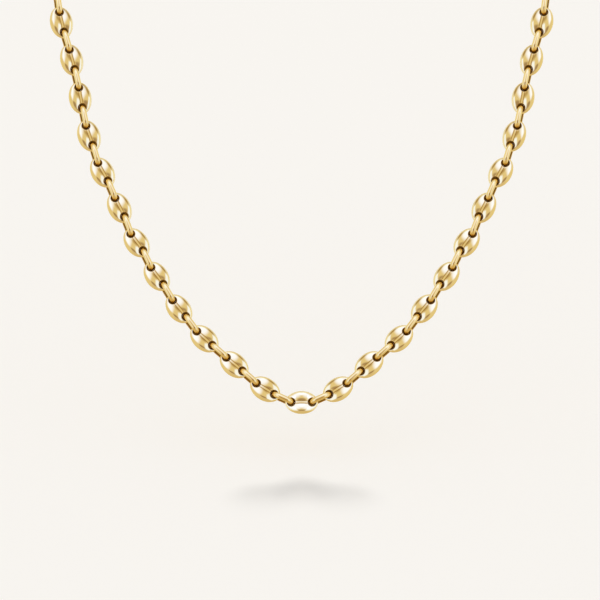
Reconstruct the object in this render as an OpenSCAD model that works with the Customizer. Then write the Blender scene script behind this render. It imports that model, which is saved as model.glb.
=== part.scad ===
// Coffee bean necklace: puffed beans with a groove down the middle and a hole near each tip,
// joined by small oval wire links into one closed loop, with a plain barrel clasp at the nape.
// The loop keeps the form in which it hangs on a neck. The clasp's inner face is the origin,
// the front of the necklace faces -Y and the wearer's left side is +X.

/* [Beans] */
// Length of a bean along the chain
bean_l = 8.1; // [8:0.1:8.4]
// Width of a bean across both lobes
bean_w = 5.6; // [5.2:0.1:5.8]
// Thickness of a bean through its lobes
bean_t = 2.8; // [2.4:0.1:2.9]
// Width of the flat bar between the lobes
bar_w = 0.8; // [0.7:0.1:1]
// Height of the bar as a share of the lobes' height
bar_share = 0.75; // [0.7:0.05:0.8]
// Diameter of the hole near each tip
hole_d = 2.1; // [2.05:0.05:2.15]
// Distance of a hole from the middle of the bean
hole_x = 2.55; // [2.53:0.01:2.58]

/* [Links] */
// Thickness of the link wire
wire_d = 1.4; // [1.2:0.1:1.4]
// Outer length of a link along the chain
link_l = 6.3; // [6.2:0.1:6.4]
// Outer depth of a link from front to back
link_w = 4.8; // [4.7:0.1:5]
// Distance of a link's end wire from the middle of the bean that it holds
seat_x = 2.45; // [2.4:0.05:2.5]

/* [Clasp] */
// Length of the clasp's barrel
barrel_l = 8; // [6:0.5:10]
// Diameter of the clasp's barrel
barrel_d = 4.4; // [4:0.2:5]
// Thickness of the end eyes' wire
eye_wire = 1.2; // [1:0.1:1.3]

/* [Drape] */
// Lean of the front stretch, back from upright
front_lean = 26; // [18:1:32]
// Number of links from the top of the front stretch to the clasp, on each side
back_links = 10; // [9:1:12]
// How soon the back stretch levels out
back_fall = 2; // [1.6:0.1:2.4]
// Tip of the beans' faces towards the inside of the loop, at its lowest point
tip_low = 3; // [0:1:6]
// Tip of the beans' faces towards the inside of the loop, where the front stretch ends
tip_high = 11; // [6:1:14]
// Turn of each back bean's face away from the neck
back_turn = 0.16; // [0:0.02:0.24]

/* [Hidden] */
// Rise of each link of the front stretch and of the bean after it, in degrees from level
LINK_RISE = 0;
BEAN_RISE = 1;
FRONT = [
    [24, 32],
    [41, 40],
    [41, 42],
    [53, 51],
    [59, 54],
    [64, 54],
    [69, 63],
    [67, 61],
    [73, 71],
    [78, 80],
    [77, 75],
    [73, 77],
    [82, 82]
];
// Distances from the middle of a bean to its sections, on both sides of the middle
SECTIONS = [0.15, 0.28, 0.39, 0.475];
// Facets of each lobe from the rim to the bar
LOBE_STEPS = 4;
// Where a section's lobes are highest, as a share of its width, and how full they are from there to the rim
RIDGE = 0.58;
FULLNESS = 0.68;
// How soon the lobes fall away along the bean, and the least height of the tips as a share of the lobes' height
FALL = 1.1;
TIP_HEIGHT = 0.62;
// The bar's largest share of a section's width
TIP_BAR = 0.3;
// Search for the bend of the back stretch
BEND_LOW = 0.5;
BEND_HIGH = 8;
HALVINGS = 40;
// Fineness of the bores and barrel, and of the wires
ROUND = 48;
WIRE_ROUND = 24;

front_links = len(FRONT);
last = front_links + back_links;
bean_count = 2 * last - 1;
link_pitch = link_l - wire_d;
link_r = (link_w - wire_d) / 2;
link_straight = link_pitch - 2 * link_r;
crease = 180 - asin(pow(bar_share, 1 / FULLNESS));
eye_r = hole_d / 2 + eye_wire / 2;
clasp_seat = barrel_l / 2 + eye_r + seat_x - hole_x;
sections = concat([for (i = [len(SECTIONS) - 1:-1:0]) -SECTIONS[i]], [0], SECTIONS) * bean_l;

function two_digits(i) = str(i < 10 ? "0" : "", i);
function bean_name(i) = str("bean_", two_digits(i));

// Vectors
function unit(v) = v / norm(v);
function square_to(v, t) = unit(v - (v * t) * t);
function mirrored(v) = [-v.x, v.y, v.z];

// A direction in the plane of the front stretch, and the one square to it towards the inside of the loop
function front_dir(rise) = [cos(rise), sin(rise) * sin(front_lean), sin(rise) * cos(front_lean)];
function front_in(rise) = front_dir(rise + 90);
FRONT_FACE = [0, -cos(front_lean), sin(front_lean)];

// A direction of the back stretch: s runs from 0 at its start to 1 at the clasp
top_dir = front_dir(FRONT[front_links - 1][BEAN_RISE]);
top_heading = atan2(top_dir.y, top_dir.x);
top_rise = asin(top_dir.z);
function heading(s, bend) = 180 - (180 - top_heading) * pow(1 - s, bend);
function back_dir(s, bend) =
    let (rise = top_rise * pow(1 - s, back_fall), h = heading(s, bend))
    [cos(rise) * cos(h), cos(rise) * sin(h), sin(rise)];

// The directions of the links and of the beans from the lowest bean up to the clasp
function link_dir(k, bend) =
    k < front_links ? front_dir(FRONT[k][LINK_RISE]) : back_dir((k - front_links + 0.5) / back_links, bend);
function bean_dir(k, bend) =
    k == 0 ? [1, 0, 0] :
    k <= front_links ? front_dir(FRONT[k - 1][BEAN_RISE]) : back_dir((k - front_links) / back_links, bend);
function seat(k) = k == last ? clasp_seat : seat_x;
function place(k, bend) =
    k == 0 ? [0, 0, 0] :
    place(k - 1, bend) + seat(k - 1) * bean_dir(k - 1, bend) + link_pitch * link_dir(k - 1, bend)
    + seat(k) * bean_dir(k, bend);

// The bend of the back stretch that brings the clasp to the middle, found by halving
function find_bend(low, high, n) =
    let (mid = (low + high) / 2)
    n == 0 ? mid :
    place(last, mid).x > 0 ? find_bend(mid, high, n - 1) : find_bend(low, mid, n - 1);
back_bend = find_bend(BEND_LOW, BEND_HIGH, HALVINGS);

dirs = [for (k = [0:last]) bean_dir(k, back_bend)];
places = [for (k = 0, p = [0, 0, 0]; k <= last; k = k + 1, p = k > last ? p : place(k, back_bend)) p];

// The direction that each bean's face looks in
function front_face(k) =
    let (rise = k == 0 ? 0 : FRONT[k - 1][BEAN_RISE], tip = tip_low + (tip_high - tip_low) * rise / 90)
    FRONT_FACE * cos(tip) + front_in(rise) * sin(tip);
function face(k) =
    k <= front_links ? front_face(k) :
    square_to(face(k - 1) + back_turn * unit([dirs[k].y, -dirs[k].x, 0]), dirs[k]);
faces = [for (k = [0:last]) face(k)];

// Places a piece with its length along dir and its face towards look
module set_at(p, dir, look) {
    side = cross(look, dir);
    multmatrix([
        [dir.x, side.x, look.x, p.x],
        [dir.y, side.y, look.y, p.y],
        [dir.z, side.z, look.z, p.z],
        [0, 0, 0, 1]
    ]) children();
}

// The clasp's inner face comes to the origin
clasp_face = faces[last];
origin = places[last] - clasp_face * barrel_d / 2;

// At a distance x from the middle of a bean: the share of the oval that is left, 1 in the middle and 0 at the
// tips, half the outline's width and half the lobes' height
function run(x) = 1 - pow(2 * x / bean_l, 2);
function half_width(x) = bean_w / 2 * sqrt(run(x));
function half_height(x) = bean_t / 2 * max(pow(run(x), FALL), TIP_HEIGHT * sqrt(run(x)));

// Section of a bean: two round lobes with the bar between them
function section(x) =
    let (
        w = half_width(x),
        h = half_height(x),
        ridge = RIDGE * w,
        outer = w - ridge,
        inner = (min(bar_w / 2, TIP_BAR * w) - ridge) / cos(crease),
        quarter = [for (i = [0:LOBE_STEPS]) let (a = crease * i / LOBE_STEPS)
            [ridge + (a < 90 ? outer : inner) * cos(a), h * pow(sin(a), FULLNESS)]],
        n = LOBE_STEPS
    )
    concat(
        [for (i = [0:n]) [x, quarter[i].x, quarter[i].y]],
        [for (i = [n:-1:0]) [x, -quarter[i].x, quarter[i].y]],
        [for (i = [1:n]) [x, -quarter[i].x, -quarter[i].y]],
        [for (i = [n:-1:1]) [x, quarter[i].x, -quarter[i].y]]
    );

module bean_body() {
    rings = [for (x = sections) section(x)];
    m = len(rings[0]);
    n = len(rings);
    points = concat([for (ring = rings) each ring], [[-bean_l / 2, 0, 0], [bean_l / 2, 0, 0]]);
    sides = [for (j = [0:n - 2], i = [0:m - 1]) let (a = j * m + i, b = j * m + (i + 1) % m)
        each [[a, a + m, b], [b, a + m, b + m]]];
    ends = [for (i = [0:m - 1]) let (a = (n - 1) * m)
        each [[i, (i + 1) % m, n * m], [a + (i + 1) % m, a + i, n * m + 1]]];
    polyhedron(points, concat(sides, ends));
}

module coffee_bean() {
    difference() {
        bean_body();
        for (side = [-1, 1])
            translate([side * hole_x, 0, 0])
                cylinder(d = hole_d, h = 2 * bean_t, center = true, $fn = ROUND);
    }
}

// An oval ring of round wire, in the plane of its length and its face
module wire_link() {
    rotate([90, 0, 0])
        for (side = [0, 180])
            rotate([0, 0, side]) {
                translate([link_straight / 2, 0, 0])
                    rotate([0, 0, -90])
                        rotate_extrude(angle = 180, $fn = ROUND)
                            translate([link_r, 0])
                                circle(d = wire_d, $fn = WIRE_ROUND);
                translate([0, link_r, 0])
                    rotate([0, 90, 0])
                        cylinder(d = wire_d, h = link_straight, center = true, $fn = WIRE_ROUND);
            }
}

module bean(k) {
    i = abs(k);
    flip = k < 0;
    color("gold")
        translate(-origin)
            set_at(flip ? mirrored(places[i]) : places[i], flip ? mirrored(dirs[i]) : dirs[i],
                flip ? mirrored(faces[i]) : faces[i])
                coffee_bean();
}

module connector_links() {
    color("goldenrod")
        translate(-origin)
            for (k = [0:last - 1], flip = [false, true]) {
                dir = link_dir(k, back_bend);
                mid = places[k] + seat(k) * dirs[k] + dir * link_pitch / 2;
                look = square_to(faces[k] + faces[k + 1], dir);
                set_at(flip ? mirrored(mid) : mid, flip ? mirrored(dir) : dir, flip ? mirrored(look) : look)
                    wire_link();
            }
}

module clasp() {
    color("gold")
        translate(-origin)
            set_at(places[last], dirs[last], clasp_face)
                clasp_body();
}

module clasp_body() {
    cap_r = barrel_d / 2;
    rotate([0, 90, 0]) {
        cylinder(d = barrel_d, h = barrel_l - barrel_d, center = true, $fn = ROUND);
        for (side = [-1, 1])
            translate([0, 0, side * (barrel_l - barrel_d) / 2])
                sphere(r = cap_r, $fn = ROUND);
    }
    for (side = [-1, 1])
        translate([side * (barrel_l / 2 + eye_r), 0, 0])
            rotate_extrude($fn = ROUND)
                translate([eye_r, 0])
                    circle(d = eye_wire, $fn = WIRE_ROUND);
}

for (i = [1:bean_count])
    bean(i - last);
connector_links();
clasp();
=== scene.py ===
"""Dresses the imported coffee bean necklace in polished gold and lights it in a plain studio.

Lengths are in metres and angles in degrees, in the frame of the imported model: +Z is up, the front of the
necklace faces -Y, the wearer's left side is +X and the inner face of the clasp is the origin.
"""

from __future__ import annotations

import logging
import math
from collections.abc import Iterable, Sequence
from dataclasses import dataclass
from enum import Enum

import bmesh
import bpy
import numpy as np
from mathutils import Matrix, Vector
from mathutils.geometry import delaunay_2d_cdt


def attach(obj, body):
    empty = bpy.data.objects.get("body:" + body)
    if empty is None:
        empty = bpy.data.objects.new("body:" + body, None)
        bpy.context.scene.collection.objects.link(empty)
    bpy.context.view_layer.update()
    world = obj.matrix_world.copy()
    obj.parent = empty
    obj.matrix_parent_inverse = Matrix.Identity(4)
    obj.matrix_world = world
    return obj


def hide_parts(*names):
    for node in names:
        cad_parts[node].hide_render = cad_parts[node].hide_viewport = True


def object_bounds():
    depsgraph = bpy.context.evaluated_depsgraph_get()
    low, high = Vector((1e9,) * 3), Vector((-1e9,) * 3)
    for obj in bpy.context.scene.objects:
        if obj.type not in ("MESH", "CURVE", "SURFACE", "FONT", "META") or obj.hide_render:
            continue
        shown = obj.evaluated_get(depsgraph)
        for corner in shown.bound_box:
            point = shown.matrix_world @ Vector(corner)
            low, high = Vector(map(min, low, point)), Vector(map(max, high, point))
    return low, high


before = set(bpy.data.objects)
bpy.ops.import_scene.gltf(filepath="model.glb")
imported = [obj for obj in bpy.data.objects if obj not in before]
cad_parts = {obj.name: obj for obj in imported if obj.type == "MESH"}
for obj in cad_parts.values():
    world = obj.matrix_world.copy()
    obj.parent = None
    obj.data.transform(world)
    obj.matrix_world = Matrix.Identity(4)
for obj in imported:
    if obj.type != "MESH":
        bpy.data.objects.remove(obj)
cad_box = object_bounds()

log = logging.getLogger("necklace")
Colour = tuple[float, float, float]
Sockets = bpy.types.NodeInputs | bpy.types.NodeOutputs
Value = bpy.types.NodeSocket | bpy.types.ID | Sequence[float] | float | str
PALE: Colour = (0.939, 0.913, 0.871)
QUARTER = math.pi / 2
MM_PER_METRE = 1e3
TINY = 1e-9
TURN = "turn"
RECESS = "recess"


class Part(Enum):
    """The kinds of piece that the necklace is made of, with the material slot of each."""

    BEAN = "bean_gold"
    RINGS = "link_gold"
    CLASP = "clasp_gold"


def smooth_step(low: float, high: float, value: np.ndarray) -> np.ndarray:
    """Rises smoothly from 0 to 1.

    Args:
        low: Where the rise starts.
        high: Where it ends.
        value: The values to map.

    Returns:
        The share from 0 to 1 for each value.
    """
    t = np.clip((value - low) / (high - low), 0.0, 1.0)
    return t * t * (3.0 - 2.0 * t)


def add(name: str, data: bpy.types.ID) -> bpy.types.Object:
    """Adds an object to the scene."""
    thing = bpy.data.objects.new(name, data)
    bpy.context.scene.collection.objects.link(thing)
    return thing


@dataclass(frozen=True)
class Stance:
    """Where a piece stands: its middle and its own three directions, longest first."""

    middle: np.ndarray
    axes: np.ndarray

    @classmethod
    def of_surface(cls, corners: np.ndarray) -> Stance:
        """Finds the stance of a closed surface that is alike on both sides of each of its middle planes.

        Args:
            corners: The corners of its triangles, as an array of shape (triangles, 3, 3).

        Returns:
            The stance, with a row for each direction, the one of the greatest spread first.
        """
        edges = corners[:, 1:] - corners[:, :1]
        area = np.linalg.norm(np.cross(edges[:, 0], edges[:, 1]), axis=1) / 2
        middle = (corners.mean(axis=1) * area[:, None]).sum(axis=0) / area.sum()
        local = corners - middle
        whole = local.sum(axis=1)
        at_corners = np.einsum("t,tki,tkj->ij", area, local, local)
        at_middles = np.einsum("t,ti,tj->ij", area, whole, whole)
        _, vectors = np.linalg.eigh(at_corners + at_middles)
        axes = vectors.T[::-1]
        axes[2] = np.cross(axes[0], axes[1])
        return cls(middle, axes)

    def extents(self, points: np.ndarray) -> np.ndarray:
        """The size of a cloud of points along the three directions."""
        along = (points - self.middle) @ self.axes.T
        return along.max(axis=0) - along.min(axis=0)

    def turn(self, order: Sequence[int]) -> tuple[float, float, float, float]:
        """The rotation from a shape's own axes to the stance.

        Args:
            order: Which of the stance's directions the shape's X and Y take.

        Returns:
            The quaternion's four numbers, the real one first.
        """
        x, y = self.axes[order[0]], self.axes[order[1]]
        columns = np.column_stack([x, y, np.cross(x, y)])
        return tuple(Matrix(columns.tolist()).to_quaternion())


class Islands:
    """The separate closed surfaces in the mesh of a node."""

    MERGE = 1e-6

    def __init__(self, node: str) -> None:
        """Reads the node's triangles and sorts them into islands.

        Args:
            node: The node's name.
        """
        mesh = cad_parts[node].data
        mesh.calc_loop_triangles()
        points = np.empty(len(mesh.vertices) * 3)
        mesh.vertices.foreach_get("co", points)
        corners = np.empty(len(mesh.loop_triangles) * 3, dtype=np.int32)
        mesh.loop_triangles.foreach_get("vertices", corners)
        self.points = points.reshape(-1, 3)
        self.corners = corners.reshape(-1, 3)
        _, same = np.unique(np.round(self.points / self.MERGE), axis=0, return_inverse=True)
        self.labels = self._label(same.ravel()[self.corners], int(same.max()) + 1)

    @staticmethod
    def _label(triangles: np.ndarray, count: int) -> np.ndarray:
        """Gives each triangle the lowest corner number of its island.

        Args:
            triangles: The merged corner numbers of each triangle.
            count: How many corners there are.

        Returns:
            One label for each triangle.
        """
        labels = np.arange(count)
        while True:
            low = labels[triangles].min(axis=1)
            new = labels.copy()
            for k in range(3):
                np.minimum.at(new, triangles[:, k], low)
            new = new[new]
            if np.array_equal(new, labels):
                return labels[triangles[:, 0]]
            labels = new

    def surfaces(self) -> list[np.ndarray]:
        """The triangles' corner points of each island, as arrays of shape (triangles, 3, 3)."""
        return [self.points[self.corners[self.labels == label]] for label in np.unique(self.labels)]


class Shell:
    """A closed surface while it is being built from rings and strips of faces."""

    def __init__(self) -> None:
        """Starts with no points and no faces."""
        self.points: list[list[float]] = []
        self.faces: list[tuple[int, ...]] = []
        # The mask of painted shade in grooves and holes, one value for each point.
        self.recess: list[float] = []

    def ring(self, places: np.ndarray, height: np.ndarray, recess: np.ndarray) -> np.ndarray:
        """Adds points.

        Args:
            places: Their places in the middle plane.
            height: Their heights above it.
            recess: How deep each lies in a groove or hole, from 0 to 1, which sets its painted shade.

        Returns:
            Their numbers.
        """
        first = len(self.points)
        self.points.extend(np.column_stack([places, height]).tolist())
        self.recess.extend(recess.tolist())
        return np.arange(first, len(self.points))

    def grow(
        self, last: np.ndarray, places: np.ndarray, height: np.ndarray, recess: np.ndarray
    ) -> np.ndarray:
        """Adds a closed ring of points and joins it to the last one."""
        ring = self.ring(places, height, recess)
        self.strip(last, ring)
        return ring

    def strip(self, a: np.ndarray, b: np.ndarray) -> None:
        """Joins two closed rings of equally many points by a strip of quads."""
        self.faces.extend(zip(a.tolist(), np.roll(a, -1).tolist(), np.roll(b, -1).tolist(), b.tolist()))

    def mesh(self, name: str) -> bpy.types.Mesh:
        """Makes the mesh, smooth and with its faces outwards.

        Args:
            name: The mesh's name.

        Returns:
            The mesh, with its recess attribute, the mask of its painted shade.
        """
        mesh = bpy.data.meshes.new(name)
        mesh.from_pydata(self.points, [], self.faces)
        attribute = mesh.attributes.new(RECESS, "FLOAT", "POINT")
        attribute.data.foreach_set("value", self.recess)
        work = bmesh.new()
        work.from_mesh(mesh)
        bmesh.ops.recalc_face_normals(work, faces=work.faces)
        work.to_mesh(mesh)
        work.free()
        mesh.shade_smooth()
        return mesh


@dataclass(frozen=True)
class BeanForm:
    """A puffed coffee bean: two lobes, a flat bar between them and a round hole near each tip.

    X runs along the bean, Y across both lobes and Z out of its face.

    Attributes:
        outer_share: Where a lobe's ridge runs, as a share of its width from the outline.
        bar_most: The bar's greatest half width, as a share of the bean's.
        bar_share: The bar's height, as a share of the crown's.
        lobe_share: A lobe's height where it meets the bar, as a share of the crown's.
        tip_height: The height of the arch that fills the tips, with its fullness and blend.
        groove_most: The crease's greatest depth, as a share of the crown's height.
        groove_edge: Where the bar's edge ends, in units of groove_spread, as groove_rows are.
        groove_fade: Where along the bean the crease's dark fades out.
        throat_height: The height of a hole's narrowest ring, as a share of its rim's.
        throat_steps: How far each ring in a hole has come towards the narrowest one.
    """

    length: float = 0.0081
    width: float = 0.0056
    thickness: float = 0.0028
    fall: float = 1.27
    outer_share: float = 0.449
    roundness: float = 2.13
    fullness: float = 0.365
    bar_width: float = 0.00064
    bar_most: float = 0.3
    bar_share: float = 0.77
    lobe_share: float = 0.81
    tip_height: float = 0.83
    tip_fullness: float = 0.575
    tip_blend: float = 0.04
    groove_depth: float = 0.00005
    groove_most: float = 0.1
    groove_spread: float = 0.00006
    groove_edge: float = 0.8
    # groove_shade is the half width and groove_dark the strength of the painted shade along the groove's
    # corners.
    groove_shade: float = 0.0001
    groove_dark: float = 0.8
    groove_fade: tuple[float, float] = (0.0024, 0.0034)
    hole_radius: float = 0.00105
    hole_offset: float = 0.00255
    lip: float = 0.0001
    throat_radius: float = 0.00071
    throat_offset: float = 0.002458
    throat_height: float = 0.07
    rim_points: int = 112
    rim_steps: tuple[float, ...] = (4.0, 9.0, 15.0, 23.0, 32.0)
    hole_points: int = 40
    lip_steps: tuple[float, ...] = (25.0, 50.0, 75.0, 90.0)
    throat_steps: tuple[float, ...] = (0.35, 0.7, 1.0)
    spacing: float = 0.0002
    groove_rows: tuple[float, ...] = (-2.4, -1.5, -0.9, -0.45, 0.0, 0.45, 0.9, 1.5, 2.4, 3.8)

    @property
    def clearance(self) -> float:
        """The least distance of the grid's points from a hole and from the middle row."""
        return self.spacing / 3

    def surface(self, x: np.ndarray, y: np.ndarray) -> np.ndarray:
        """Height of the face above the middle plane.

        Args:
            x: Distances along the bean.
            y: Distances across it.

        Returns:
            The heights, 0 on the outline.
        """
        run = np.clip(1.0 - (2.0 * x / self.length) ** 2, 0.0, 1.0)
        edge = np.maximum(self.width / 2 * np.sqrt(run), TINY)
        crown = self.thickness / 2 * run**self.fall
        bar = np.minimum(self.bar_width / 2, self.bar_most * edge)
        ridge = edge - (edge - bar) * self.outer_share
        across = np.abs(y)
        reach = (1.0 - self.lobe_share ** (1.0 / self.fullness)) ** (1.0 / self.roundness)
        inward = (ridge - across) / (ridge - bar) * reach
        outward = (across - ridge) / (edge - ridge)
        slope = np.clip(np.maximum(inward, outward), 0.0, 1.0)
        lobe = crown * (1.0 - slope**self.roundness) ** self.fullness
        from_bar = (across - bar) / self.groove_spread
        share = smooth_step(-self.groove_edge, self.groove_edge, from_bar)
        groove = np.minimum(self.groove_depth, self.groove_most * crown) * np.exp(-(from_bar**2))
        lobes = self.bar_share * crown * (1.0 - share) + lobe * share - groove
        dome = run * np.clip(1.0 - (across / edge) ** 2, 0.0, 1.0)
        arch = self.thickness / 2 * self.tip_height * dome**self.tip_fullness
        return (lobes + arch + np.sqrt((lobes - arch) ** 2 + (self.tip_blend * arch) ** 2)) / 2

    def recess(self, x: np.ndarray, y: np.ndarray) -> np.ndarray:
        """How deep a place on the face lies in the groove's corners, from 0 to 1, as the mask of its
        painted shade.
        """
        corner = np.exp(-(((np.abs(y) - self.bar_width / 2) / self.groove_shade) ** 2))
        return self.groove_dark * corner * (1.0 - smooth_step(*self.groove_fade, np.abs(x)))

    def outline(self, shrink: float) -> np.ndarray:
        """The outline's points, drawn in towards the middle by a factor."""
        angle = np.arange(self.rim_points) * math.tau / self.rim_points
        half = np.array([self.length, self.width]) / 2 * shrink
        return np.column_stack([np.cos(angle), np.sin(angle)]) * half

    def hole_ring(self, side: int, radius: float, offset: float | None = None) -> np.ndarray:
        """Points round the hole at one end.

        Args:
            side: 1 or -1 for the end.
            radius: Their distance from the hole's axis.
            offset: Distance of the axis from the middle of the bean, if it isn't the hole's own.

        Returns:
            Their places in the middle plane.
        """
        angle = np.arange(self.hole_points) * math.tau / self.hole_points
        middle = side * (self.hole_offset if offset is None else offset)
        return np.column_stack([np.cos(angle), np.sin(angle)]) * radius + [middle, 0.0]

    def rows(self) -> np.ndarray:
        """Distances of the rows of points from the middle line, closest at the groove's corner."""
        bar = self.bar_width / 2
        near = bar + self.groove_spread * np.array(self.groove_rows)
        far = np.arange(near[-1] + self.spacing, self.width / 2, self.spacing)
        half = np.concatenate([near[near > self.clearance], far])
        return np.concatenate([-half[::-1], [0.0], half])

    def inner_points(self, outline: np.ndarray) -> np.ndarray:
        """Points between the outline's band and the holes.

        Args:
            outline: The inner edge of the outline's band.

        Returns:
            Their places in the middle plane.
        """
        count = int(self.length / self.spacing / 2)
        columns = np.arange(-count, count + 1) * self.spacing
        x, y = (grid.ravel() for grid in np.meshgrid(columns, self.rows()))
        reach = outline.max(axis=0) - self.spacing / 2
        inside = (x / reach[0]) ** 2 + (y / reach[1]) ** 2 < 1.0
        from_hole = np.hypot(np.abs(x) - self.hole_offset, y)
        clear = from_hole > self.hole_radius + self.lip + self.clearance
        return np.column_stack([x, y])[inside & clear]

    def face_pattern(self, outline: np.ndarray) -> tuple[np.ndarray, np.ndarray]:
        """Divides the face inside the outline's band and outside the holes into triangles.

        Args:
            outline: The inner edge of the outline's band.

        Returns:
            The points, with the outline first and the holes' rings next, and the triangles.
        """
        edge_radius = self.hole_radius + self.lip
        rings = [outline, self.hole_ring(-1, edge_radius), self.hole_ring(1, edge_radius)]
        points = np.concatenate([*rings, self.inner_points(outline)])
        edges: list[tuple[int, int]] = []
        first = 0
        for ring in rings:
            count = len(ring)
            edges.extend((first + i, first + (i + 1) % count) for i in range(count))
            first += count
        found = delaunay_2d_cdt([Vector(p) for p in points.tolist()], edges, [], 0, TINY)
        source = np.array([ids[0] for ids in found[3]])
        triangles = source[np.array(found[2])]
        middles = points[triangles].mean(axis=1)
        from_hole = np.hypot(np.abs(middles[:, 0]) - self.hole_offset, middles[:, 1])
        return points, triangles[from_hole > edge_radius * math.cos(math.pi / self.hole_points)]

    def mesh(self, name: str) -> bpy.types.Mesh:
        """Builds the whole bean.

        Args:
            name: The mesh's name.

        Returns:
            A closed mesh round the bean's own middle.
        """
        shell = Shell()
        rim = self.outline(1.0)
        flat = np.zeros(self.rim_points)
        rim_ring = shell.ring(rim, flat, flat)
        rounds = np.cos(np.radians(self.rim_steps))
        bands = [self.outline(1.0 - self.outer_share * (1.0 - r)) for r in rounds]
        points, triangles = self.face_pattern(bands[-1])
        wall_rings: list[list[np.ndarray]] = []
        for side in (1.0, -1.0):
            last = rim_ring
            for band in bands[:-1]:
                last = shell.grow(last, band, self.surface(*band.T) * side, self.recess(*band.T))
            face = shell.ring(points, self.surface(*points.T) * side, self.recess(*points.T))
            shell.strip(last, face[: self.rim_points])
            shell.faces.extend(map(tuple, face[triangles].tolist()))
            wall_rings.append(self._lips(shell, face, side))
        for upper, lower in zip(*wall_rings):
            shell.strip(upper, lower)
        return shell.mesh(name)

    def _lips(self, shell: Shell, face: np.ndarray, side: float) -> list[np.ndarray]:
        """Rounds the face over into both holes and narrows each towards the bean's middle plane, with
        painted shade that deepens over the lip and fills the hole.

        Args:
            shell: The surface being built.
            face: The numbers of the face's points.
            side: 1 for the front face, -1 for the back.

        Returns:
            The last ring of points in each hole.
        """
        ends = []
        first = self.rim_points
        for end in (-1, 1):
            ring = face[first : first + self.hole_points]
            first += self.hole_points
            start = self.hole_ring(end, self.hole_radius + self.lip)
            height = self.surface(*start.T)
            for step in np.radians(self.lip_steps):
                places = self.hole_ring(end, self.hole_radius + self.lip * (1.0 - math.sin(step)))
                drop = self.lip * (1.0 - math.cos(step))
                # Painted shade deepens over the lip towards the hole.
                shade = np.full(self.hole_points, math.sin(step) ** 2)
                ring = shell.grow(ring, places, (height - drop) * side, shade)
            # The hole's inside is fully darkened with painted shade.
            for share in self.throat_steps:
                radius = self.hole_radius + (self.throat_radius - self.hole_radius) * share
                offset = self.hole_offset + (self.throat_offset - self.hole_offset) * share
                depth = (height - self.lip) * (1.0 - (1.0 - self.throat_height) * share) * side
                places = self.hole_ring(end, radius, offset)
                ring = shell.grow(ring, places, depth, np.ones(self.hole_points))
            ends.append(ring)
        return ends


class NodeTree:
    """A short way to write node trees, for shapes and for materials."""

    SEAM = 1e-7

    def __init__(self, tree: bpy.types.NodeTree) -> None:
        """Wraps a tree.

        Args:
            tree: The tree that the nodes go into.
        """
        self.tree = tree

    def socket(self, name: str, kind: str, output: bool = False, default: Value | None = None) -> str:
        """Adds an input or output to the tree's interface.

        Args:
            name: The socket's name.
            kind: Its type, such as NodeSocketFloat.
            output: Whether it is an output.
            default: The input's value where nothing is set.

        Returns:
            The socket's identifier.
        """
        way = "OUTPUT" if output else "INPUT"
        item = self.tree.interface.new_socket(name, in_out=way, socket_type=kind)
        if default is not None:
            item.default_value = default
        return item.identifier

    def node(
        self, kind: str, inputs: dict[str | int, Value] | None = None, **settings: object
    ) -> bpy.types.Node:
        """Adds a node.

        Args:
            kind: The node's type.
            inputs: A value or an output socket for each named or numbered input.
            **settings: The node's own settings.

        Returns:
            The node.
        """
        node = self.tree.nodes.new(kind)
        for key, value in settings.items():
            setattr(node, key, value)
        for key, value in (inputs or {}).items():
            if isinstance(value, bpy.types.NodeSocket):
                self.tree.links.new(value, node.inputs[key])
            else:
                node.inputs[key].default_value = value
        return node

    def math(self, operation: str, *values: Value) -> bpy.types.NodeSocket:
        """Adds a Math node in either kind of tree and gives its result."""
        return self.node("ShaderNodeMath", dict(enumerate(values)), operation=operation).outputs[0]

    def half(self, value: Value) -> bpy.types.NodeSocket:
        """Adds a node that halves a value and gives its result."""
        return self.math("MULTIPLY", value, 0.5)

    def vector_math(self, operation: str, *values: Value, result: str = "Vector") -> bpy.types.NodeSocket:
        """Adds a Vector Math node and gives one of its results."""
        inputs = dict(enumerate(values))
        return self.node("ShaderNodeVectorMath", inputs, operation=operation).outputs[result]

    def ramp(self, value: Value, start: float, end: float) -> bpy.types.NodeSocket:
        """Adds a smooth rise from 0 where a value is at the start to 1 where it is at the end."""
        inputs = {"Value": value, "From Min": start, "From Max": end}
        return self.node("ShaderNodeMapRange", inputs, interpolation_type="SMOOTHSTEP").outputs[0]

    def mix(self, factor: Value, first: Value, second: Value) -> bpy.types.NodeSocket:
        """Adds a mix of two colours and gives its result."""
        inputs = {"Factor": factor, "A": first, "B": second}
        return self.node("ShaderNodeMix", inputs, data_type="RGBA").outputs["Result"]

    def circle(self, points: int, radius: Value) -> bpy.types.NodeSocket:
        """Adds a circle of wire or of the wire's section."""
        inputs = {"Resolution": points, "Radius": radius}
        return self.node("GeometryNodeCurvePrimitiveCircle", inputs).outputs[0]

    def wire(self, path: Value, points: int, thickness: Value) -> bpy.types.NodeSocket:
        """Adds round wire along a curve, with so many points round its section."""
        section = self.circle(points, self.half(thickness))
        return self.node("GeometryNodeCurveToMesh", {"Curve": path, "Profile Curve": section}).outputs[0]

    def transform(self, shape: Value, **change: Value) -> bpy.types.NodeSocket:
        """Adds a turn or a shift of a shape and gives the result."""
        return self.node("GeometryNodeTransform", {"Geometry": shape, **change}).outputs[0]

    def pull_apart(self, shape: bpy.types.NodeSocket, distance: Value) -> bpy.types.NodeSocket:
        """Moves the two halves of a shape apart along X.

        Args:
            shape: The shape, round its own middle.
            distance: How far each half moves.

        Returns:
            The lengthened shape.
        """
        position = self.node("GeometryNodeInputPosition").outputs[0]
        place = self.node("ShaderNodeSeparateXYZ", {0: position}).outputs
        side = self.math("SIGN", self.math("ADD", place["X"], self.SEAM))
        shift = self.node("ShaderNodeCombineXYZ", {"X": self.math("MULTIPLY", side, distance)})
        moved = self.node("GeometryNodeSetPosition", {"Geometry": shape, "Offset": shift.outputs[0]})
        return moved.outputs[0]


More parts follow.
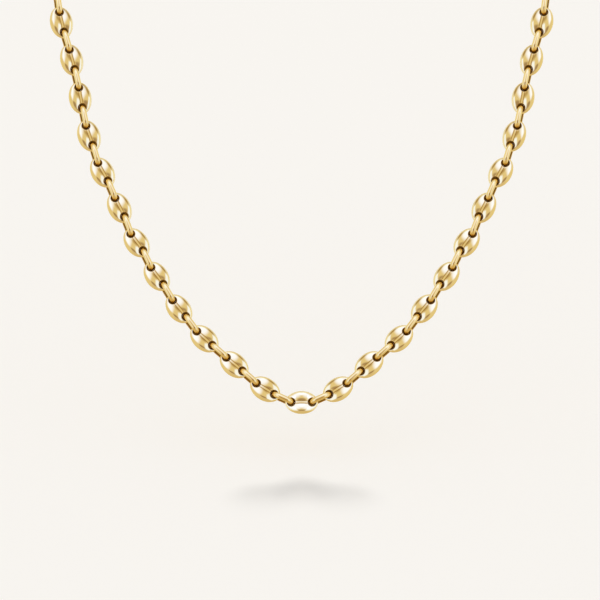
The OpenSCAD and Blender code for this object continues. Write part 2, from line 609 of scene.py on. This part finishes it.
def shape_tree(name: str) -> NodeTree:
    """Starts a tree that makes a shape, with its output socket."""
    made = NodeTree(bpy.data.node_groups.new(name, "GeometryNodeTree"))
    made.socket("Geometry", "NodeSocketGeometry", output=True)
    return made


class RingShape:
    """The tree of an oval ring of round wire: X along the chain, Z from front to back."""

    BEND_POINTS = 56
    WIRE_POINTS = 20
    FACING_OUT = 0.1
    FACING_IN = -0.7

    def build(self) -> bpy.types.NodeTree:
        """Makes the tree, with inputs for the ring's length, depth and wire."""
        made = shape_tree("oval_wire_ring")
        for name in ("Length", "Depth", "Wire"):
            made.socket(name, "NodeSocketFloat")
        sizes = made.node("NodeGroupInput").outputs
        radius = made.half(made.math("SUBTRACT", sizes["Depth"], sizes["Wire"]))
        straight = made.half(made.math("SUBTRACT", sizes["Length"], sizes["Depth"]))
        oval = made.pull_apart(made.circle(self.BEND_POINTS, radius), straight)
        upright = made.transform(oval, Rotation=(QUARTER, 0.0, 0.0))
        ring = made.wire(upright, self.WIRE_POINTS, sizes["Wire"])
        # The inside of the ring is darkened with painted shade through the recess mask.
        marked = made.node(
            "GeometryNodeStoreNamedAttribute",
            {"Geometry": ring, "Name": RECESS, "Value": self._inside(made, straight)},
            data_type="FLOAT",
            domain="POINT",
        )
        made.node("NodeGroupOutput", {0: marked.outputs[0]})
        return made.tree

    def _inside(self, made: NodeTree, straight: bpy.types.NodeSocket) -> bpy.types.NodeSocket:
        """Measures how far each place of the wire faces the inside of the ring, from 0 to 1, as the mask
        of painted shade inside the ring.

        Args:
            made: The ring's tree.
            straight: Half the length of the ring's straight stretch.

        Returns:
            The share.
        """
        position = made.node("GeometryNodeInputPosition").outputs[0]
        place = made.node("ShaderNodeSeparateXYZ", {0: position}).outputs
        back = made.math("MULTIPLY", straight, -1.0)
        nearest = made.node("ShaderNodeClamp", {"Value": place["X"], "Min": back, "Max": straight})
        end = made.math("SUBTRACT", place["X"], nearest.outputs[0])
        out = made.node("ShaderNodeCombineXYZ", {"X": end, "Z": place["Z"]}).outputs[0]
        normal = made.node("GeometryNodeInputNormal").outputs[0]
        outwards = made.vector_math("NORMALIZE", out)
        facing = made.vector_math("DOT_PRODUCT", outwards, normal, result="Value")
        return made.ramp(facing, self.FACING_OUT, self.FACING_IN)


class BarrelShape:
    """The tree of a plain barrel with a round eye at each end, along X, with the eyes' holes along Z."""

    BARREL_POINTS = 64
    BARREL_RINGS = 49
    EYE_POINTS = 56
    WIRE_POINTS = 24

    def build(self) -> bpy.types.NodeTree:
        """Makes the tree, with inputs for the barrel's length and width and the eyes' radius and wire."""
        made = shape_tree("barrel_with_eyes")
        for name in ("Length", "Width", "Eye", "Wire"):
            made.socket(name, "NodeSocketFloat")
        sizes = made.node("NodeGroupInput").outputs
        union = made.node("GeometryNodeMeshBoolean", operation="UNION", solver="EXACT")
        eyes = [self._eye(made, sizes, side) for side in (-1.0, 1.0)]
        for part in (self._barrel(made, sizes), *eyes):
            made.tree.links.new(part, union.inputs["Mesh 2"])
        made.node("NodeGroupOutput", {0: union.outputs[0]})
        return made.tree

    def _barrel(self, made: NodeTree, sizes: Sockets) -> bpy.types.NodeSocket:
        """Pulls a ball apart into a barrel with round ends."""
        radius = made.half(sizes["Width"])
        straight = made.math("SUBTRACT", made.half(sizes["Length"]), radius)
        ball = made.node(
            "GeometryNodeMeshUVSphere",
            {"Segments": self.BARREL_POINTS, "Rings": self.BARREL_RINGS, "Radius": radius},
        )
        lying = made.transform(ball.outputs[0], Rotation=(0.0, QUARTER, 0.0))
        return made.pull_apart(lying, straight)

    def _eye(self, made: NodeTree, sizes: Sockets, side: float) -> bpy.types.NodeSocket:
        """Bends one eye at an end of the barrel."""
        circle = made.circle(self.EYE_POINTS, sizes["Eye"])
        eye = made.wire(circle, self.WIRE_POINTS, sizes["Wire"])
        reach = made.math("MULTIPLY_ADD", sizes["Length"], 0.5, sizes["Eye"])
        shift = made.node("ShaderNodeCombineXYZ", {"X": made.math("MULTIPLY", reach, side)})
        return made.transform(eye, Translation=shift.outputs[0])


class Setter:
    """Sets a shape at the points of a mesh, each turned as its point says, and gives it a finish."""

    def __init__(self, name: str, shape: bpy.types.NodeTree | None) -> None:
        """Builds the tree.

        Args:
            name: The tree's name.
            shape: The tree of the shape, or None where an object is the shape.
        """
        made = shape_tree(name)
        made.socket("Points", "NodeSocketGeometry")
        self.inputs = {"Finish": made.socket("Finish", "NodeSocketMaterial")}
        kinds = {"Shape": "NodeSocketObject"}
        if shape is not None:
            items = shape.interface.items_tree
            kinds = {item.name: "NodeSocketFloat" for item in items if item.in_out == "INPUT"}
        for key, kind in kinds.items():
            self.inputs[key] = made.socket(key, kind)
        source = made.node("NodeGroupInput").outputs
        if shape is None:
            form = made.node("GeometryNodeObjectInfo", {"Object": source["Shape"]}).outputs["Geometry"]
        else:
            sizes = {key: source[key] for key in kinds}
            form = made.node("GeometryNodeGroup", sizes, node_tree=shape).outputs[0]
        turn = made.node("GeometryNodeInputNamedAttribute", {"Name": TURN}, data_type="QUATERNION")
        smooth = made.node("GeometryNodeSetShadeSmooth", {"Geometry": form})
        placed = made.node(
            "GeometryNodeInstanceOnPoints",
            {"Points": source["Points"], "Instance": smooth.outputs[0], "Rotation": turn.outputs[0]},
        )
        real = made.node("GeometryNodeRealizeInstances", {0: placed.outputs[0]})
        finished = made.node(
            "GeometryNodeSetMaterial", {"Geometry": real.outputs[0], "Material": source["Finish"]}
        )
        made.node("NodeGroupOutput", {0: finished.outputs[0]})
        self.tree = made.tree

    def set(
        self,
        name: str,
        middles: Sequence[np.ndarray],
        turns: Sequence[Sequence[float]],
        **values: float | bpy.types.ID,
    ) -> bpy.types.Object:
        """Makes one piece out of the shape at each of the places.

        Args:
            name: The piece's name.
            middles: The places.
            turns: The rotation at each place, as a quaternion.
            **values: The tree's inputs by name.

        Returns:
            The piece, a plain mesh at the origin.
        """
        mesh = bpy.data.meshes.new(name + "_places")
        mesh.from_pydata([tuple(p) for p in middles], [], [])
        attribute = mesh.attributes.new(TURN, "QUATERNION", "POINT")
        attribute.data.foreach_set("value", np.asarray(turns, dtype=np.float32).ravel())
        holder = add(name + "_places", mesh)
        modifier = holder.modifiers.new("set", "NODES")
        modifier.node_group = self.tree
        for key, value in values.items():
            modifier[self.inputs[key]] = value
        graph = bpy.context.evaluated_depsgraph_get()
        made = bpy.data.meshes.new_from_object(
            holder.evaluated_get(graph), preserve_all_data_layers=True, depsgraph=graph
        )
        bpy.data.objects.remove(holder)
        made.name = name
        return add(name, made)


def register(piece: bpy.types.Object, node: str) -> bpy.types.Object:
    """Lets a piece ride on the part's one body in place of its node, and reports it.

    Args:
        piece: The finished piece.
        node: The node that it stands for.

    Returns:
        The piece.
    """
    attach(piece, "root")
    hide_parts(node)
    piece.data.calc_loop_triangles()
    log.info("%s: %d triangles in place of %s", piece.name, len(piece.data.loop_triangles), node)
    return piece


class PolishGroup:
    """The shader group of polished plate: slow changes of tone, hairline marks and painted shade in
    recesses.
    """

    SLOW_SCALE = 260.0
    FINE_SCALE = 2600.0
    HAIR_SCALE = (900.0, 4200.0, 9000.0)
    HAIR_HEIGHT = 0.00002
    DIMMEST_TONE = 0.965
    RECESS_ROUGHNESS = 0.12
    HALF_WAY = 0.45
    # Painted shade, from none to deepest, for the ramp over the recess mask.
    PAINTED_SHADES: tuple[Colour, ...] = ((1.0, 1.0, 1.0), (0.66, 0.47, 0.2), (0.32, 0.21, 0.07))

    def __init__(self) -> None:
        """Builds the group once."""
        made = NodeTree(bpy.data.node_groups.new("polished_plate", "ShaderNodeTree"))
        made.socket("Plate", "NodeSocketColor", default=(1.0, 0.8, 0.4, 1.0))
        made.socket("Depth", "NodeSocketFloat", default=0.5)
        made.socket("Haze", "NodeSocketFloat", default=0.05)
        made.socket("Marks", "NodeSocketFloat", default=0.02)
        made.socket("Colour", "NodeSocketColor", output=True)
        made.socket("Metal", "NodeSocketFloat", output=True)
        made.socket("Roughness", "NodeSocketFloat", output=True)
        made.socket("Normal", "NodeSocketVector", output=True)
        source = made.node("NodeGroupInput").outputs
        place = made.node("ShaderNodeTexCoord").outputs["Object"]
        slow = self._noise(made, place, self.SLOW_SCALE, detail=2.0)
        fine = self._noise(made, place, self.FINE_SCALE, detail=3.0)
        stretched = made.node("ShaderNodeMapping", {"Vector": place, "Scale": self.HAIR_SCALE})
        hairs = self._noise(made, stretched.outputs[0], 1.0, detail=2.0)
        recess = made.node("ShaderNodeAttribute", attribute_name=RECESS).outputs["Fac"]
        tone = made.node("ShaderNodeMapRange", {"Value": slow, "To Min": self.DIMMEST_TONE}).outputs[0]
        toned = made.node("ShaderNodeVectorMath", {0: source["Plate"], "Scale": tone}, operation="SCALE")
        # Painted shade: the recess mask darkens the plate and makes it less metallic, so that recesses
        # turn a dull brown.
        depth = made.math("MULTIPLY", recess, source["Depth"])
        shade = made.node("ShaderNodeValToRGB", {0: depth})
        shade.color_ramp.elements.new(self.HALF_WAY)
        for element, level in zip(shade.color_ramp.elements, self.PAINTED_SHADES):
            element.color = (*level, 1.0)
        colour = made.vector_math("MULTIPLY", toned.outputs[0], shade.outputs[0])
        spread = made.math("MULTIPLY", made.math("ADD", slow, fine), source["Haze"])
        relief = {"Height": hairs, "Strength": source["Marks"], "Distance": self.HAIR_HEIGHT}
        results = {
            "Colour": colour,
            "Metal": made.math("SUBTRACT", 1.0, made.math("POWER", depth, 2.0)),
            "Roughness": made.math("MULTIPLY_ADD", depth, self.RECESS_ROUGHNESS, spread),
            "Normal": made.node("ShaderNodeBump", relief).outputs[0],
        }
        made.node("NodeGroupOutput", results)
        self.tree = made.tree

    @staticmethod
    def _noise(made: NodeTree, place: Value, scale: float, detail: float) -> bpy.types.NodeSocket:
        """Adds a noise and gives its value."""
        inputs = {"Vector": place, "Scale": scale, "Detail": detail}
        return made.node("ShaderNodeTexNoise", inputs).outputs[0]


@dataclass(frozen=True)
class GoldFinish:
    """A polished gold plate.

    Attributes:
        depth: How dark the painted shade in its recesses is, from 0 to 1.
        haze: Its roughness, which varies over the surface.
        marks: The strength of its hairline marks.
        sheen: The tint of its specular light.
    """

    name: str
    plate: Colour
    depth: float
    haze: float
    marks: float
    sheen: Colour = (0.9, 0.76, 0.48)

    def material(self, group: PolishGroup) -> bpy.types.Material:
        """Makes the material.

        Args:
            group: The shader group of polished plate.

        Returns:
            The material, a metal with the group's colour, roughness and fine relief.
        """
        material = bpy.data.materials.new(self.name)
        material.use_nodes = True
        made = NodeTree(material.node_tree)
        made.tree.nodes.clear()
        polish = made.node(
            "ShaderNodeGroup",
            {"Plate": (*self.plate, 1.0), "Depth": self.depth, "Haze": self.haze, "Marks": self.marks},
            node_tree=group.tree,
        )
        metal = made.node(
            "ShaderNodeBsdfPrincipled",
            {
                "Base Color": polish.outputs["Colour"],
                "Metallic": polish.outputs["Metal"],
                "Specular IOR Level": 0.0,
                "Specular Tint": (*self.sheen, 1.0),
                "Roughness": polish.outputs["Roughness"],
                "Normal": polish.outputs["Normal"],
            },
        )
        made.node("ShaderNodeOutputMaterial", {"Surface": metal.outputs[0]})
        return material


# depth sets how deeply the painted shade darkens each finish's recesses.
BEAN_GOLD = GoldFinish(Part.BEAN.value, (0.9, 0.675, 0.236), depth=1.0, haze=0.05, marks=0.02)
RING_GOLD = GoldFinish(Part.RINGS.value, (0.84, 0.56, 0.145), depth=1.0, haze=0.06, marks=0.03)
CLASP_GOLD = GoldFinish(Part.CLASP.value, (0.87, 0.63, 0.2), depth=0.0, haze=0.07, marks=0.03)


@dataclass(frozen=True)
class BeanChain:
    """The puffed beans, each a piece of its own."""

    form: BeanForm
    setter: Setter
    finish: bpy.types.Material

    def build(self) -> list[bpy.types.Object]:
        """Makes one bean and sets it at the stance of each bean node."""
        pieces = []
        pattern = add("bean_pattern", self.form.mesh("bean_pattern"))
        for node in sorted(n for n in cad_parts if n.startswith("bean_")):
            stance = Stance.of_surface(np.concatenate(Islands(node).surfaces()))
            piece = self.setter.set(
                f"polished_{node}",
                [stance.middle],
                [stance.turn((0, 1))],
                Shape=pattern,
                Finish=self.finish,
            )
            pieces.append(register(piece, node))
        bpy.data.objects.remove(pattern)
        return pieces


@dataclass(frozen=True)
class Connectors:
    """The oval wire rings between the beans, all one piece."""

    setter: Setter
    finish: bpy.types.Material
    node: str = "connector_links"

    def build(self) -> list[bpy.types.Object]:
        """Sets a ring at the stance of each ring in the node."""
        surfaces = Islands(self.node).surfaces()
        stances = [Stance.of_surface(surface) for surface in surfaces]
        length, depth, wire = stances[0].extents(surfaces[0].reshape(-1, 3))
        shown = [size * MM_PER_METRE for size in (length, depth, wire)]
        log.info("%s: %d rings, %.2f x %.2f mm of %.2f mm wire", self.node, len(stances), *shown)
        piece = self.setter.set(
            "polished_rings",
            [stance.middle for stance in stances],
            [stance.turn((0, 2)) for stance in stances],
            Length=float(length),
            Depth=float(depth),
            Wire=float(wire),
            Finish=self.finish,
        )
        return [register(piece, self.node)]


@dataclass(frozen=True)
class Clasp:
    """The plain barrel clasp at the nape."""

    setter: Setter
    finish: bpy.types.Material
    barrel_width: float = 0.0044
    eye_wire: float = 0.0012
    eye_hole: float = 0.0022
    node: str = "clasp"

    def build(self) -> list[bpy.types.Object]:
        """Sets the barrel where the node is."""
        surface = np.concatenate(Islands(self.node).surfaces())
        stance = Stance.of_surface(surface)
        eye = (self.eye_hole + self.eye_wire) / 2
        both_eyes = 4 * eye + self.eye_wire
        reach = float(stance.extents(surface.reshape(-1, 3))[0])
        piece = self.setter.set(
            "polished_clasp",
            [stance.middle],
            [stance.turn((0, 1))],
            Length=reach - both_eyes,
            Width=self.barrel_width,
            Eye=eye,
            Wire=self.eye_wire,
            Finish=self.finish,
        )
        return [register(piece, self.node)]


def direction(azimuth: float, elevation: float) -> Vector:
    """The direction from the chain to a place round it; azimuth 0 is in front and 90 to the right."""
    a, e = math.radians(azimuth), math.radians(elevation)
    return Vector((math.sin(a) * math.cos(e), -math.cos(a) * math.cos(e), math.sin(e)))


def span(distance: float, angle: float) -> float:
    """The width that takes up an angle at a distance."""
    return 2 * distance * math.tan(math.radians(angle / 2))


def stand(thing: bpy.types.Object, aim: Vector, away: Vector, distance: float, roll: float = 0.0) -> None:
    """Places a light or the camera so that it faces a point.

    Args:
        thing: The light or camera.
        aim: The point.
        away: The direction from the point to the thing.
        distance: How far away it stands.
        roll: Its turn about the line of sight.
    """
    turn = Matrix.Rotation(math.radians(roll), 4, "Z").to_quaternion()
    thing.location = aim + away * distance
    thing.rotation_mode = "QUATERNION"
    thing.rotation_quaternion = away.to_track_quat("Z", "Y") @ turn


def collect(name: str, things: Iterable[bpy.types.Object]) -> bpy.types.Collection:
    """Puts objects into a collection of their own, for the lights.

    Args:
        name: The collection's name.
        things: The objects.

    Returns:
        The collection.
    """
    collection = bpy.data.collections.new(name)
    for thing in things:
        collection.objects.link(thing)
    return collection


class Side(Enum):
    """A half of the necklace, as the camera sees it."""

    LEFT = 1
    RIGHT = -1


@dataclass(frozen=True)
class Softbox:
    """A soft light panel that faces the chain.

    It is given as for the left half, and the right half's is its mirror image.

    Attributes:
        wide: The angle that it takes up, seen from the chain, with high for its height.
        feather: How far in from its edge it fades, as a share of its half width.
        roll: Its turn about the line of sight.
        round: Whether it fades as an oval, not as a rectangle.
    """

    name: str
    azimuth: float
    elevation: float
    wide: float
    high: float
    radiance: Colour
    feather: float
    roll: float = 0.0
    round: bool = False
    distance: float = 2.5

    def build(self, side: Side, aim: Vector, receivers: bpy.types.Collection) -> None:
        """Makes the light.

        Args:
            side: The half that it is for.
            aim: The point that it faces.
            receivers: The pieces that it lights.
        """
        name = f"{self.name}_{side.name.lower()}"
        data = bpy.data.lights.new(name, "AREA")
        data.shape = "RECTANGLE"
        data.size = span(self.distance, self.wide)
        data.size_y = span(self.distance, self.high)
        peak = max(self.radiance)
        data.color = tuple(part / peak for part in self.radiance)
        data.energy = peak * math.pi * data.size * data.size_y
        self._feather(data)
        light = add(name, data)
        away = direction(self.azimuth * side.value, self.elevation)
        stand(light, aim, away, self.distance, self.roll * side.value)
        light.light_linking.receiver_collection = receivers
        log.info("softbox %s", name)

    def _feather(self, data: bpy.types.AreaLight) -> None:
        """Fades the panel out towards its edges."""
        data.use_nodes = True
        made = NodeTree(data.node_tree)
        panel = made.node("ShaderNodeTexCoord").outputs["UV"]
        centred = {"Vector": panel, "Location": (-1.0, -1.0, 0.0), "Scale": (2.0, 2.0, 0.0)}
        out = made.vector_math("ABSOLUTE", made.node("ShaderNodeMapping", centred).outputs[0])
        if self.round:
            parts = [made.vector_math("LENGTH", out, result="Value")]
        else:
            parts = list(made.node("ShaderNodeSeparateXYZ", {0: out}).outputs[:2])
        light: Value = 1.0
        for part in parts:
            light = made.math("MULTIPLY", light, made.ramp(part, 1.0, 1.0 - self.feather))
        made.tree.links.new(light, made.tree.nodes["Emission"].inputs["Strength"])


@dataclass(frozen=True)
class Patch:
    """A round area of the room that the metal mirrors, which fades from an inner to an outer angle."""

    azimuth: float
    elevation: float
    inner: float
    outer: float
    radiance: Colour


@dataclass(frozen=True)
class Room:
    """The room round the table, even but for the patches that the metal mirrors."""

    plain: Colour = PALE
    fill: float = 0.649
    radiance: Colour = (0.86, 0.84, 0.89)
    patches: tuple[Patch, ...] = (
        Patch(7.3, -3.3, 4.0, 24.1, (0.43, 0.34, 0.34)),
        Patch(-7.3, -3.3, 4.0, 24.1, (0.43, 0.34, 0.34)),
        Patch(95.9, 50.7, 6.9, 37.8, (0.46, 0.35, 0.24)),
        Patch(-95.9, 50.7, 6.9, 37.8, (0.46, 0.35, 0.24)),
        Patch(180.0, -30.7, 5.7, 20.0, (0.72, 0.72, 0.47)),
        Patch(0.0, -63.5, 21.1, 50.9, (0.75, 0.69, 0.71)),
    )

    def build(self) -> None:
        """Makes the world."""
        world = bpy.data.worlds.new("room")
        world.use_nodes = True
        made = NodeTree(world.node_tree)
        around = made.node("ShaderNodeTexCoord").outputs["Generated"]
        mirrored: Value = (*self.radiance, 1.0)
        for patch in self.patches:
            middle = direction(patch.azimuth, patch.elevation)
            facing = made.vector_math("DOT_PRODUCT", around, middle, result="Value")
            outer, inner = (math.cos(math.radians(angle)) for angle in (patch.outer, patch.inner))
            mirrored = made.mix(made.ramp(facing, outer, inner), mirrored, (*patch.radiance, 1.0))
        ray = made.node("ShaderNodeLightPath").outputs
        even = made.mix(ray["Is Camera Ray"], (self.fill,) * 3 + (1.0,), (*self.plain, 1.0))
        colour = made.mix(ray["Is Glossy Ray"], even, mirrored)
        made.tree.links.new(colour, made.tree.nodes["Background"].inputs["Color"])
        bpy.context.scene.world = world


@dataclass(frozen=True)
class Studio:
    """The plain floor, the lights and the camera."""

    floor_drop: float = 0.0099
    floor_radius: float = 4.0
    floor_points: int = 96
    floor_colour: Colour = PALE
    floor_roughness: float = 0.9
    softboxes: tuple[Softbox, ...] = (
        Softbox("key", -39.1, 55.3, 77.0, 99.1, (0.29, 0.64, 3.05), 0.84, 3.3, True),
        Softbox("window", 45.8, 4.7, 44.3, 67.6, (0.22, 0.56, 2.50), 0.52, -24.7),
        Softbox("side", 84.4, 15.1, 44.3, 64.6, (0.17, 0.29, 0.74), 0.50, -13.1, True),
        Softbox("low", 103.4, -20.9, 88.1, 39.8, (0.16, 0.33, 1.13), 0.35, 11.7),
        Softbox("rear", 139.1, 8.8, 81.9, 76.6, (0.09, 0.28, 1.06), 0.72, 19.0, True),
        Softbox("back_top", -167.4, 62.0, 83.6, 98.4, (0.04, 0.14, 0.56), 0.91, -2.0, True),
        Softbox("upper", -98.1, 51.6, 75.9, 79.9, (0.40, 0.52, 0.95), 0.56, 35.3, True),
        Softbox("back_low", -138.2, -9.2, 34.4, 86.2, (0.20, 0.38, 0.50), 0.72, -3.0, True),
    )
    camera_distance: float = 1.1
    camera_elevation: float = 20.0
    frame_width: float = 0.14815
    sensor: float = 36.0
    target: tuple[float, float, float] = (-0.0004, -0.08355, -0.10145)
    floor_lamp: tuple[float, float] = (180.5, 27.0)
    floor_lamp_share: float = 0.362
    floor_lamp_wide: float = 26.0
    floor_lamp_high: float = 10.0
    floor_lamp_distance: float = 150.0
    overlap: float = 0.003
    shadow_reach: float = 0.014

    def build(self) -> None:
        """Makes the camera, the floor and the room."""
        self._camera()
        self._floor()
        Room().build()
        bpy.context.scene.view_settings.view_transform = "Standard"

    def light(self, pieces: Sequence[bpy.types.Object]) -> None:
        """Makes the lights. Each half of the necklace has its own softboxes, and its middle has both sets.

        Args:
            pieces: The finished pieces.
        """
        aim = Vector(self.target)
        middles = {piece: Vector(np.mean(piece.bound_box, axis=0)) for piece in pieces}
        for side in Side:
            near = [piece for piece, middle in middles.items() if middle.x * side.value < self.overlap]
            receivers = collect(f"lit_{side.name.lower()}", near)
            for softbox in self.softboxes:
                softbox.build(side, aim, receivers)
        beans = [piece for piece in pieces if piece.name.startswith("polished_bean")]
        low = [piece for piece in beans if middles[piece].z < aim.z]
        self._lamp(collect("shaded_by", [p for p in low if abs(middles[p].x) < self.shadow_reach]))

    def _camera(self) -> None:
        """Sets the camera at the photograph's angle."""
        data = bpy.data.cameras.new("camera")
        data.sensor_width = self.sensor
        data.lens = self.sensor * self.camera_distance / self.frame_width
        camera = add("camera", data)
        stand(camera, Vector(self.target), direction(0.0, self.camera_elevation), self.camera_distance)
        bpy.context.scene.camera = camera

    def _floor(self) -> None:
        """Lays a round, pale floor under the necklace."""
        height = cad_box[0].z - self.floor_drop
        angles = [math.tau * i / self.floor_points for i in range(self.floor_points)]
        circle = [(self.floor_radius * math.cos(a), self.floor_radius * math.sin(a)) for a in angles]
        mesh = bpy.data.meshes.new("floor")
        mesh.from_pydata([(x, y, height) for x, y in circle], [], [list(range(self.floor_points))])
        material = bpy.data.materials.new("pale_floor")
        material.use_nodes = True
        surface = material.node_tree.nodes["Principled BSDF"]
        surface.inputs["Base Color"].default_value = (*self.floor_colour, 1.0)
        surface.inputs["Roughness"].default_value = self.floor_roughness
        surface.inputs["Specular IOR Level"].default_value = 0.0
        mesh.materials.append(material)
        floor = add("floor", mesh)
        floor.visible_glossy = False
        floor.visible_shadow = False

    def _lamp(self, blockers: bpy.types.Collection) -> None:
        """Lights the floor alone, from behind the necklace, so that the lowest beans have a soft shadow.

        Args:
            blockers: The pieces that cast the shadow.
        """
        azimuth, elevation = self.floor_lamp
        reach = math.pi * self.floor_lamp_distance
        data = bpy.data.lights.new("floor_lamp", "AREA")
        data.shape = "ELLIPSE"
        data.size = span(self.floor_lamp_distance, self.floor_lamp_wide)
        data.size_y = span(self.floor_lamp_distance, self.floor_lamp_high)
        data.energy = self.floor_lamp_share * reach**2 / math.sin(math.radians(elevation))
        lamp = add("floor_lamp", data)
        stand(lamp, Vector(self.target), direction(azimuth, elevation), self.floor_lamp_distance)
        lamp.light_linking.receiver_collection = collect("lit_floor", [bpy.data.objects["floor"]])
        lamp.light_linking.blocker_collection = blockers


def main() -> None:
    """Builds the studio, dresses the necklace and reports each piece."""
    logging.basicConfig(level=logging.INFO, format="%(name)s: %(message)s")
    studio = Studio()
    studio.build()
    group = PolishGroup()
    beans = BeanChain(BeanForm(), Setter("set_bean", None), BEAN_GOLD.material(group))
    rings = Connectors(Setter("set_rings", RingShape().build()), RING_GOLD.material(group))
    clasp = Clasp(Setter("set_clasp", BarrelShape().build()), CLASP_GOLD.material(group))
    pieces: list[bpy.types.Object] = []
    for assembly in (beans, rings, clasp):
        pieces += assembly.build()
        log.info("%s is done", type(assembly).__name__)
    studio.light(pieces)


if __name__ == "__main__":
    main()
